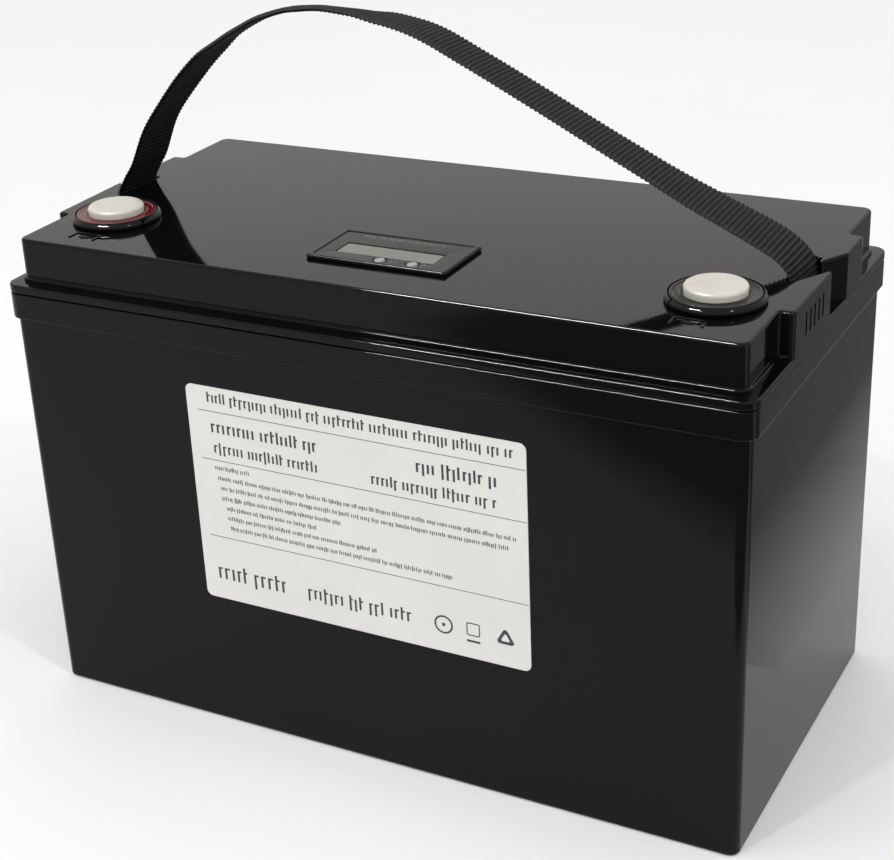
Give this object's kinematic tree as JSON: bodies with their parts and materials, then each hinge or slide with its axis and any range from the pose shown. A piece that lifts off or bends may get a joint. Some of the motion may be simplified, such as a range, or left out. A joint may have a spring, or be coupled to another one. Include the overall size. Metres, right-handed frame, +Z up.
{
  "type": "deep cycle battery",
  "caption": "Rectangular rechargeable battery in a glossy case with a lid, a carrying strap, capped round terminals and a small display with push-buttons.",
  "frame": {"origin": "on the floor, under the middle of the case", "axes": "+X along the length towards the negative terminal, +Y towards the back, +Z up; the label faces -Y"},
  "size_m": [0.3306, 0.171, 0.3006],
  "materials": {
    "case_black": "high gloss",
    "collar_black": "gloss",
    "ring_red": "gloss",
    "ring_black": "satin",
    "cap_white": "satin",
    "webbing_black": "woven, ribbed",
    "toggle_black": "matte",
    "seal_rubber": "matte",
    "label_paper": "satin, laminated",
    "display_black": "satin",
    "display_window": "gloss",
    "button_silver": "satin",
    "circuit_board": "satin",
    "cell_wrap": "satin",
    "epoxy_sheet": "satin",
    "foam_grey": "matte foam",
    "band_steel": "brushed",
    "copper_bare": "satin",
    "nickel_plate": "plated",
    "zinc_plate": "plated",
    "aluminium_bare": "extruded",
    "cable_red": "matte",
    "cable_black": "matte",
    "ribbon_grey": "satin"
  },
  "bodies": {
    "housing": {"case": "case_black", "lid_seal": "seal_rubber", "label": "label_paper", "lid": "case_black", "strap_foot_left": "webbing_black", "strap_foot_right": "webbing_black", "strap_toggle_left": "toggle_black", "strap_toggle_right": "toggle_black", "terminal_collar_positive": "collar_black", "terminal_ring_positive": "ring_red", "terminal_post_positive": "nickel_plate", "terminal_washer_positive": "zinc_plate", "terminal_nut_positive": "zinc_plate", "cable_lug_positive": "copper_bare", "lug_nut_positive": "zinc_plate", "terminal_collar_negative": "collar_black", "terminal_ring_negative": "ring_black", "terminal_post_negative": "nickel_plate", "terminal_washer_negative": "zinc_plate", "terminal_nut_negative": "zinc_plate", "cable_lug_negative": "copper_bare", "lug_nut_negative": "zinc_plate", "display_bezel": "display_black", "display_window": "display_window", "display_board": "circuit_board", "cell_1": "cell_wrap", "cell_2": "cell_wrap", "cell_3": "cell_wrap", "cell_4": "cell_wrap", "cell_separator_1": "epoxy_sheet", "busbar_1": "nickel_plate", "cell_separator_2": "epoxy_sheet", "busbar_2": "nickel_plate", "cell_separator_3": "epoxy_sheet", "busbar_3": "nickel_plate", "output_plate_positive": "copper_bare", "output_plate_negative": "copper_bare", "end_pad_left": "foam_grey", "end_pad_right": "foam_grey", "bottom_pad": "foam_grey", "retaining_band_lower": "band_steel", "retaining_band_upper": "band_steel", "insulating_sheet": "epoxy_sheet", "protection_board": "circuit_board", "heat_sink": "aluminium_bare", "bay_foam": "foam_grey", "cable_positive": "cable_red", "cable_negative": "cable_black", "cable_link": "cable_black", "balance_harness": "ribbon_grey", "display_ribbon": "ribbon_grey", "temperature_sensor": "seal_rubber"},
    "strap": {"carry_strap": "webbing_black"},
    "cap_positive": {"terminal_cap_positive": "cap_white"},
    "cap_negative": {"terminal_cap_negative": "cap_white"},
    "button_left": {"display_button_left": "button_silver"},
    "button_right": {"display_button_right": "button_silver"}
  },
  "joints": [
    {"name": "strap_swing", "type": "hinge", "parent": "housing", "child": "strap", "pos_m": [0, 0, 0.2272], "axis": [1, 0, 0], "range_deg": [-64, 64], "deforming": ["strap_foot_left", "strap_foot_right"]},
    {"name": "cap_positive_lift", "type": "slide", "parent": "housing", "child": "cap_positive", "axis": [0, 0, 1], "range_m": [0, 0.0055]},
    {"name": "cap_negative_lift", "type": "slide", "parent": "housing", "child": "cap_negative", "axis": [0, 0, 1], "range_m": [0, 0.0055]},
    {"name": "button_left_press", "type": "slide", "parent": "housing", "child": "button_left", "axis": [0, 0, -1], "range_m": [0, 0.0006], "stiffness_N_per_m": 600, "springref_m": -0.0002},
    {"name": "button_right_press", "type": "slide", "parent": "housing", "child": "button_right", "axis": [0, 0, -1], "range_m": [0, 0.0006], "stiffness_N_per_m": 600, "springref_m": -0.0002}
  ]
}
